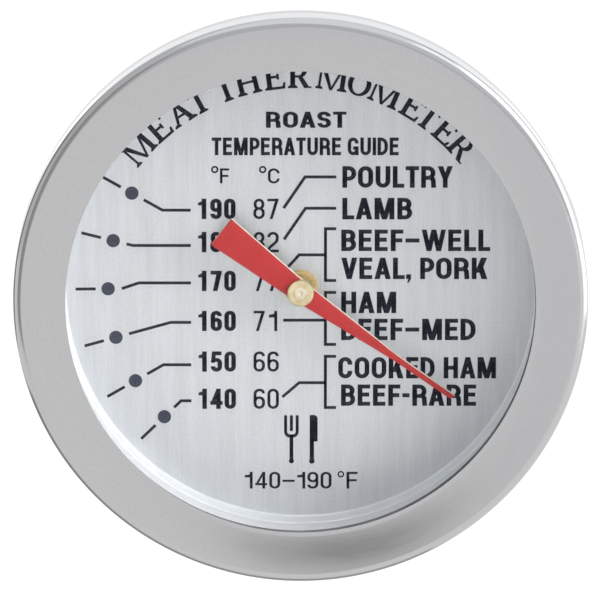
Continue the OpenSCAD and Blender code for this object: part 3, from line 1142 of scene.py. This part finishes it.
def make_gasket(name, node, inner, off=0.0):
    """A flat rubber ring with softened edges. It may stand off the axis, up and to the left, so that its dark
    rubber shows inside the lip on the right and lower right as a painted shadow line.
    """
    front, back = depth(node)
    outer = high(node, 0) - off
    soft = (back - front) * 0.35
    profile = [(inner, front, soft), (outer, front, soft), (outer, back, soft), (inner, back, soft)]
    ring_piece = make_piece(name, node, "seal_rubber", rubber, profile, sharp=60)
    # The shift puts the dark rubber where the lip's shadow line falls.
    for vertex in ring_piece.data.vertices:
        vertex.co += Vector((-0.92, 0, 0.38)) * off * MM


def make_spacer():
    """Aluminium ring that holds the glass off the dial's rim."""
    inner = spacer_r - SPACER_W
    profile = [(inner, spacer_front, 0.28), (spacer_r, spacer_front, 0.12),
               (spacer_r, spacer_back, 0.12), (inner, spacer_back, 0.12)]
    make_piece("spacer_ring_turned", "spacer_ring", "spacer_aluminium", spacer_aluminium, profile)


def make_dial_pan():
    """Dial: a flat brushed face, a raised bead round it, the turned wall and its rim. The bead's front is
    painted in a paler, less metallic aluminium as a highlight line round the dial.
    """
    rim_back = pan_front + dial_t
    wall_r = dial_r + dial_t
    bead_r = dial_r - BEAD_W
    bead_front = dial_depth - BEAD_H
    profile = [
        (BUSH_SHANK_R, dial_depth), (bead_r, dial_depth, 0.03), (bead_r, bead_front, 0.06),
        (dial_r, bead_front, 0.05), (dial_r, pan_front, 0.3), (pan_rim_r, pan_front, 0.12),
        (pan_rim_r, rim_back, 0.12), (wall_r, rim_back, 0.15), (wall_r, pan_back, 0.6),
        (BUSH_SHANK_R, pan_back),
    ]
    piece = make_piece("dial_plate", "dial_pan", "dial_aluminium", dial_aluminium, profile)
    piece.data.materials.append(rim_aluminium)
    piece.data.materials.append(bead_highlight_aluminium)
    for face in piece.data.polygons:
        radius = from_axis(face)
        # Front faces of the bead take the paler aluminium as a painted highlight; the rest of the rim and
        # wall take the turned aluminium.
        if radius > bead_r - BEAD_MARGIN:
            bead_highlight = radius < dial_r - BEAD_MARGIN and face.normal.y < 0
            face.material_index = 2 if bead_highlight else 1


def case_floor(d):
    """The case's floor at a depth, from its middle out, with the stiffening rib."""
    rib = [(RIB_R - RIB_HALF - RIB_H, d, 0.5), (RIB_R - RIB_HALF, d + RIB_H, 0.5)]
    return rib + [(RIB_R + RIB_HALF, d + RIB_H, 0.5), (RIB_R + RIB_HALF + RIB_H, d, 0.5)]


def make_case():
    """Drawn case: flange, cup, step, rounded back and its stiffening rib."""
    cup_r = pan_rim_r + 0.2
    step_r = dial_r + dial_t + 0.2
    outer = step_r + sheet
    flange_back = case_front + sheet
    step_front = pan_front + dial_t
    step_back = step_front + sheet
    inside = case_back - sheet
    profile = [
        (flange_r, case_front, 0.1), (flange_r, flange_back, 0.1),
        (cup_r + sheet, flange_back, 0.3), (cup_r + sheet, step_back, 0.7), (outer, step_back, 0.3),
        (outer, case_back, 2.5), *case_floor(case_back)[::-1], (BOSS_R, case_back, 0.1),
        (BOSS_R, inside, 0.1), *case_floor(inside), (step_r, inside, 1.8),
        (step_r, step_front, 0.3), (cup_r, step_front, 0.1), (cup_r, case_front, 0.3),
    ]
    make_piece("case_shell", "case_back", "case_steel", case_steel, profile, sharp=50)


def make_bush():
    """Brass bush riveted through the dial."""
    bore = SHAFT_R + 0.05
    flange_back = bush_front + BUSH_FLANGE_T
    profile = [
        (bore, bush_front, 0.08), (bush_r - 0.2, bush_front, 0.05), (bush_r, bush_front + 0.2, 0.05),
        (bush_r, flange_back), (BUSH_SHANK_R, flange_back), (BUSH_SHANK_R, bush_back, 0.1),
        (bore, bush_back, 0.05),
    ]
    # The bush takes the brass that is painted lighter against the hub's shadow.
    make_piece("dial_bush_turned", "dial_bush", "brass", bush_brass_brightened, profile, segments=96)


def make_hub():
    """The pointer's turned brass hub, worn pale round the dimple in its middle."""
    bore_front = hub_front + 0.5
    profile = [
        (0, hub_front + DIMPLE_DEPTH), (DIMPLE_R, hub_front, 0.05), (HUB_WORN_R, hub_front),
        (cap_r, hub_front, 0.1), (cap_r, blade_front, 0.05), (HUB_RIVET_R, blade_front),
        (HUB_RIVET_R, blade_back), (HUB_COLLAR_R, blade_back, 0.05), (HUB_COLLAR_R, hub_back, 0.1),
        (SHAFT_R, hub_back), (SHAFT_R, bore_front), (0, bore_front),
    ]
    hub = make_piece("pointer_hub_turned", "pointer_hub", "brass", brass, profile, "pointer_train",
                     segments=96)
    hub.data.materials.append(worn_brass)
    for face in hub.data.polygons:
        face.material_index = 1 if from_axis(face) < HUB_WORN_R and face.normal.y < -0.5 else 0


# ---------------------------------------------------------------- the pointer

POINTER_TIP = 19.9
POINTER_TAIL = 10.6
TAIL_HALF = 1.8
WAIST_HALF = 1.125
NECK_HALF = 0.35
TIP_HALF = 0.31
TAPER_END = 12.5
TIP_ANGLE = math.radians(-35.2)
TAIL_LEAN = math.radians(-2.6)
BLADE_EDGE = 0.07
BLADE_BURR = 0.04
BLADE_BITS = 4
# The direction of the blade's lit side: rounded edges that face it are painted pale as a highlight.
LIT_EDGE_SIDE = Vector((0.57, 0.82))


def blade_outline():
    """The blade's outline at rest, worked round against the clock."""
    tail = [turned(Vector((-POINTER_TAIL, side * TAIL_HALF)), TAIL_LEAN) for side in (1, -1)]
    corners = [
        (*tail[0], 0.12), (*tail[1], 0.12), (0, -WAIST_HALF, 6), (TAPER_END, -NECK_HALF, 30),
        (POINTER_TIP - 0.25, -TIP_HALF, 0.15), (POINTER_TIP, TIP_HALF, 0.12),
        (TAPER_END, NECK_HALF, 30), (0, WAIST_HALF, 6),
    ]
    return [turned(p, TIP_ANGLE) for p in rounded(corners, step=math.radians(6))]


def inset(path, by):
    """A closed outline drawn in by a distance, for a rounded edge."""
    drawn_in = []
    for i, here in enumerate(path):
        along = (here - path[i - 1]).normalized() + (path[(i + 1) % len(path)] - here).normalized()
        along.normalize()
        drawn_in.append(here + Vector((-along.y, along.x)) * by)
    return drawn_in


def make_pointer():
    """Stamped blade with a rounded edge and a sheared side. The rounded edge on the side that faces up and to
    the right is painted in the pale bare-edge finish as a highlight; the sheared side is bare all round.
    """
    outline = blade_outline()
    count = len(outline)
    layers = []
    for k in range(BLADE_BITS + 1):
        a = math.pi / 2 * k / BLADE_BITS
        layers.append((BLADE_EDGE * (1 - math.sin(a)), blade_front + BLADE_EDGE * (1 - math.cos(a))))
    layers += [(0.0, blade_back - BLADE_BURR), (BLADE_BURR, blade_back)]
    bm = bmesh.new()

    def loop(path, d):
        return [bm.verts.new((p.x, lip_y + d, p.y)) for p in path]
    rings = [loop(inset(outline, by), d) for by, d in layers]
    for k, (a, b) in enumerate(zip(rings, rings[1:])):
        for i in range(count):
            n = (i + 1) % count
            face = bm.faces.new((a[i], a[n], b[n], b[i]))
            along = outline[n] - outline[i]
            # Edges facing the lit side get the pale finish as a painted highlight; the sheared side and the
            # burr are bare all round.
            worn = Vector((along.y, -along.x)).dot(LIT_EDGE_SIDE) > along.length / 2
            face.material_index = 1 if worn or k >= BLADE_BITS else 0
    hole = [turned(Vector((HUB_RIVET_R, 0)), math.tau * k / 48) for k in range(48)]
    holes = [loop(hole, d) for d in (blade_front, blade_back)]
    for i in range(len(hole)):
        n = (i + 1) % len(hole)
        bm.faces.new((holes[0][i], holes[0][n], holes[1][n], holes[1][i])).material_index = 1
    for side, verts in enumerate((rings[0] + holes[0], rings[-1] + holes[1])):
        points = [Vector((v.co.x, v.co.z)) for v in verts]
        faces = [list(range(count)), list(range(count, len(points)))]
        _, _, triangles, origins, _, sources = delaunay_2d_cdt(points, [], faces, 1, 1e-6)
        for triangle, source in zip(triangles, sources):
            if source == [0]:
                bm.faces.new([verts[origins[i][0]] for i in triangle]).material_index = side
    piece = new_object("pointer_blade", bm, sharp=40)
    finish_piece(piece, "pointer_train", "pointer_red", lacquer, "pointer")
    piece.data.materials.append(bare_edge_and_highlight)


# ---------------------------------------------------------------- the stem

HEXAGON_AF = 12.0
HEXAGON_T = 2.1
HEXAGON_BITS = 6
SEAL_T = 0.6
CONE_FRONT_R = 4.6
CONE_BACK_R = 3.0
THREAD_PITCH = 0.75
THREAD_DEPTH = 0.35
TUBE_WALL = 0.35
NECK_R = 1.8
SPIGOT = 4
TIP_R = 0.35
WELD = 0.06


def hexagon(angle):
    """The radius of the boss's hexagon in a direction, with flats level at the top."""
    part = (angle + math.pi / 6) % (math.pi / 3) - math.pi / 6
    return HEXAGON_AF / 2 / math.cos(part)


def make_boss():
    """Stem boss: threaded shank, chamfered hexagon, cone and the shoulder for the tube."""
    chamfer_r = HEXAGON_AF / 2 - 0.2
    chamfer_w = HEXAGON_AF / math.sqrt(3) + 0.01 - chamfer_r
    chamfer_h = chamfer_w * math.tan(math.radians(30))
    root = BOSS_R - THREAD_DEPTH
    hex_front = case_back + SEAL_T
    hex_back = hex_front + HEXAGON_T
    profile = [(NECK_R, boss_front), (root, boss_front)]
    for k in range(int((hex_front - boss_front - 0.5) / THREAD_PITCH)):
        crest = boss_front + 0.3 + k * THREAD_PITCH
        profile += [(BOSS_R, crest, 0.05), (BOSS_R, crest + THREAD_PITCH * 0.2, 0.05),
                    (root, crest + THREAD_PITCH * 0.55, 0.05)]
    profile += [(BOSS_R, hex_front - 0.15), (BOSS_R, hex_front)]
    shares = [k / HEXAGON_BITS for k in range(HEXAGON_BITS + 1)]
    profile += [(chamfer_r + chamfer_w * share, hex_front + chamfer_h * share) for share in shares]
    profile += [(chamfer_r + chamfer_w * share, hex_back - chamfer_h * share) for share in shares[::-1]]
    profile += [(CONE_FRONT_R, hex_back, 0.2), (CONE_BACK_R, boss_back, 0.35), (NECK_R, boss_back)]

    def limit(angle, d):
        return hexagon(angle) if hex_front - 0.001 < d < hex_back + 0.001 else math.inf
    make_piece("stem_boss_turned", "stem_boss", "stem_steel", boss_steel, profile, limit=limit, sharp=25)


def make_stem():
    """Stem: the drawn tube with its necked end, and the point welded into it."""
    bore = tube_r - TUBE_WALL
    profile = [
        (bore, -0.2, 0.3), (bore, tube_end), (tube_r, tube_end), (tube_r, 0.05, 0.35),
        (NECK_R, 0, 0.2), (NECK_R, tube_front, 0.1), (NECK_R - TUBE_WALL, tube_front, 0.1),
        (NECK_R - TUBE_WALL, -0.6, 0.3),
    ]
    make_piece("stem_tube_drawn", "stem_tube", "stem_steel", stem_steel, profile, y0=0, segments=96)
    profile = [
        (0, tube_end - SPIGOT), (bore, tube_end - SPIGOT, 0.2), (bore, tube_end), (tube_r, tube_end),
        (tube_r, tube_end + 0.12, 0.1), (tube_r - WELD, tube_end + 0.2, 0.1),
        (tube_r - WELD / 2, tube_end + 0.45, 0.2), (TIP_R, point_end - 0.2, 0.25),
        (TIP_R * 0.6, point_end, 0.2), (0, point_end),
    ]
    make_piece("stem_point", "stem_tip", "stem_steel", stem_steel, profile, y0=0, segments=96)


# ---------------------------------------------------------------- stage, light and camera

CAMERA_DISTANCE = 0.6
CAMERA_LENS = 344
CAMERA_ELEVATION = math.radians(11.6)
CAMERA_YAW = math.radians(0.05)
AIM_UP = 0.41 * MM
AIM_RIGHT = -0.065 * MM
FLOOR_Z = -0.36
FLOOR_SIZE = 12
FLOOR_GLOW = 0.98
ROOM_COLOUR = (0.97, 0.985, 1.0, 1)
ROOM_GLOW = 0.85

# Each soft light: its place, its size and how much brighter than the room it is
LIGHTS = [
    ("light_above", (0.1, -0.1, 1.2), (1.6, 1.6), 0.45),
    ("light_right", (1.2, 0.1, 0.35), (1.8, 1.6), 1.15),
    ("light_right_front", (1.0, -0.45, -0.1), (0.7, 1.0), 0.4),
    ("light_upper_right", (0.95, -0.02, 0.8), (1.0, 1.0), 0.6),
    ("light_front_right", (0.55, -0.9, 0.6), (0.7, 0.7), 0.16),
    ("light_behind", (0, 1.4, 0.6), (1.3, 1.7), 0.35),
]
KEY_LIGHT = ("light_key", (0.98, -0.41, 0.42), (0.5, 0.5), 28)

# Each dark card: its place, its size and its grey
CARDS = [
    ("dark_left_front", (-0.71, -0.82, 0.19), (0.8, 1.1), 0.3),
    ("dark_left_above", (-0.83, -0.19, 0.72), (1.0, 0.8), 0.5),
    ("dark_left_back", (-0.84, 0.71, 0.05), (0.8, 1.0), 0.2),
]
LEVEL_CARD = ("dark_below", (-0.23, 0.43, -0.34), (0.74, 0.93), 0.3)
REFLECTED_CARDS = [
    ("grey_right_front", (0.35, -0.93, -0.225), (0.52, 0.42), 0.72),
    ("dark_front", (0.023, -0.81, -0.28), (0.085, 0.046), 0.02),
]


def stand(name, data, place, facing=None):
    """Puts an unseen light or card in the scene, turned to the part unless it faces elsewhere."""
    thing = bpy.data.objects.new(name, data)
    bpy.context.scene.collection.objects.link(thing)
    thing.location = place
    thing.rotation_euler = Vector(facing or place).to_track_quat("Z", "Y").to_euler()
    thing.visible_camera = False
    return thing


def flat_mesh(name, cells, size):
    """A level square grid."""
    bm = bmesh.new()
    bmesh.ops.create_grid(bm, x_segments=cells, y_segments=cells, size=size)
    mesh = bpy.data.meshes.new(name)
    bm.to_mesh(mesh)
    bm.free()
    return mesh


def make_camera():
    """A long lens above the dial's axis and straight in front of it but for a hair to the right."""
    data = bpy.data.cameras.new("camera")
    data.lens = CAMERA_LENS
    camera = bpy.data.objects.new("camera", data)
    bpy.context.scene.collection.objects.link(camera)
    level = math.cos(CAMERA_ELEVATION)
    away = Vector((math.sin(CAMERA_YAW) * level, -math.cos(CAMERA_YAW) * level,
                   math.sin(CAMERA_ELEVATION)))
    turn = away.to_track_quat("Z", "Y")
    aim = Vector((0, lip_y * MM, 0)) + turn @ Vector((AIM_RIGHT, AIM_UP, 0))
    camera.rotation_euler = turn.to_euler()
    camera.location = aim + away * CAMERA_DISTANCE
    bpy.context.scene.camera = camera


def make_floor():
    """A pale floor, far below the part."""
    floor = bpy.data.objects.new("floor", flat_mesh("floor", 24, FLOOR_SIZE))
    bpy.context.scene.collection.objects.link(floor)
    floor.location.z = FLOOR_Z
    paint = Paint("floor_paint", (0.06, 0.06, 0.06), 0.0, 0.85, Specular_IOR_Level=0.1,
                  Emission_Color=(1, 1, 1, 1), Emission_Strength=FLOOR_GLOW)
    grain = paint.noise(paint.place, 3, scale=40)
    paint.feed(paint.shader.inputs["Roughness"], paint.swing(grain, 0.8, 0.95))
    floor.data.materials.append(paint.material)


def soft_light(name, place, size, radiance):
    """A rectangular soft light."""
    data = bpy.data.lights.new(name, "AREA")
    data.shape = "RECTANGLE"
    data.size, data.size_y = size
    data.energy = radiance * math.pi * size[0] * size[1]
    return stand(name, data, place)


def dark_card(name, place, size, grey, facing=None):
    """A card that casts no shadow and darkens one side of the part."""
    card = stand(name, flat_mesh(name, 2, 0.5), place, facing)
    card.scale = (*size, 1)
    card.visible_shadow = False
    card.data.materials.append(Paint(name, (grey,) * 3, 0.0, 0.9, Specular_IOR_Level=0.0).material)
    return card


def make_light():
    """A bright room, lights mostly on the right, and dark cards on the left, below and in front."""
    world = bpy.data.worlds.new("room")
    world.use_nodes = True
    background = world.node_tree.nodes["Background"]
    background.inputs["Color"].default_value = ROOM_COLOUR
    background.inputs["Strength"].default_value = ROOM_GLOW
    bpy.context.scene.world = world
    for light in LIGHTS:
        soft_light(*light)
    soft_light(*KEY_LIGHT).visible_glossy = False
    for card in CARDS:
        dark_card(*card)
    dark_card(*LEVEL_CARD, facing=(0, 0, 1))
    for card in REFLECTED_CARDS:
        dark_card(*card).visible_diffuse = False


def make_printing():
    """Everything printed on the dial."""
    prints = {"dot": dot_shapes, "scale": scale_shapes, "number": number_shapes, "name": name_shapes,
              "heading": heading_shapes, "picture": cutlery_shapes, "title": title_shapes}
    for kind, shapes in prints.items():
        piece = printed(f"dial_{kind}_print", shapes())
        finish_piece(piece, "head", "dial_ink", dot_ink if kind == "dot" else ink)


def dress(node, material):
    """Gives a CAD node that stays a better material."""
    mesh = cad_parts[node].data
    mesh.materials.clear()
    mesh.materials.append(material)


make_camera()
make_floor()
make_light()
make_bezel()
make_lens()
make_gasket("window_gasket", "lens_gasket", WINDOW_GASKET_R, WINDOW_GASKET_SHADOW_SHIFT)
make_gasket("case_gasket_ring", "case_gasket", CASE_GASKET_R)
make_gasket("boss_seal_washer", "boss_seal", BOSS_R)
make_spacer()
make_dial_pan()
make_printing()
make_case()
make_bush()
make_hub()
make_pointer()
make_boss()
make_stem()
for kept, material in {"lock_washer": plated_steel, "lock_nut": plated_steel,
                       "pointer_shaft": stem_steel, "upper_guide": bronze, "lower_guide": bronze,
                       "bimetal_coil": bimetal, "coil_collet": brass, "coil_anchor": stem_steel}.items():
    dress(kept, material)

scene = bpy.context.scene
scene.view_settings.view_transform = "Standard"
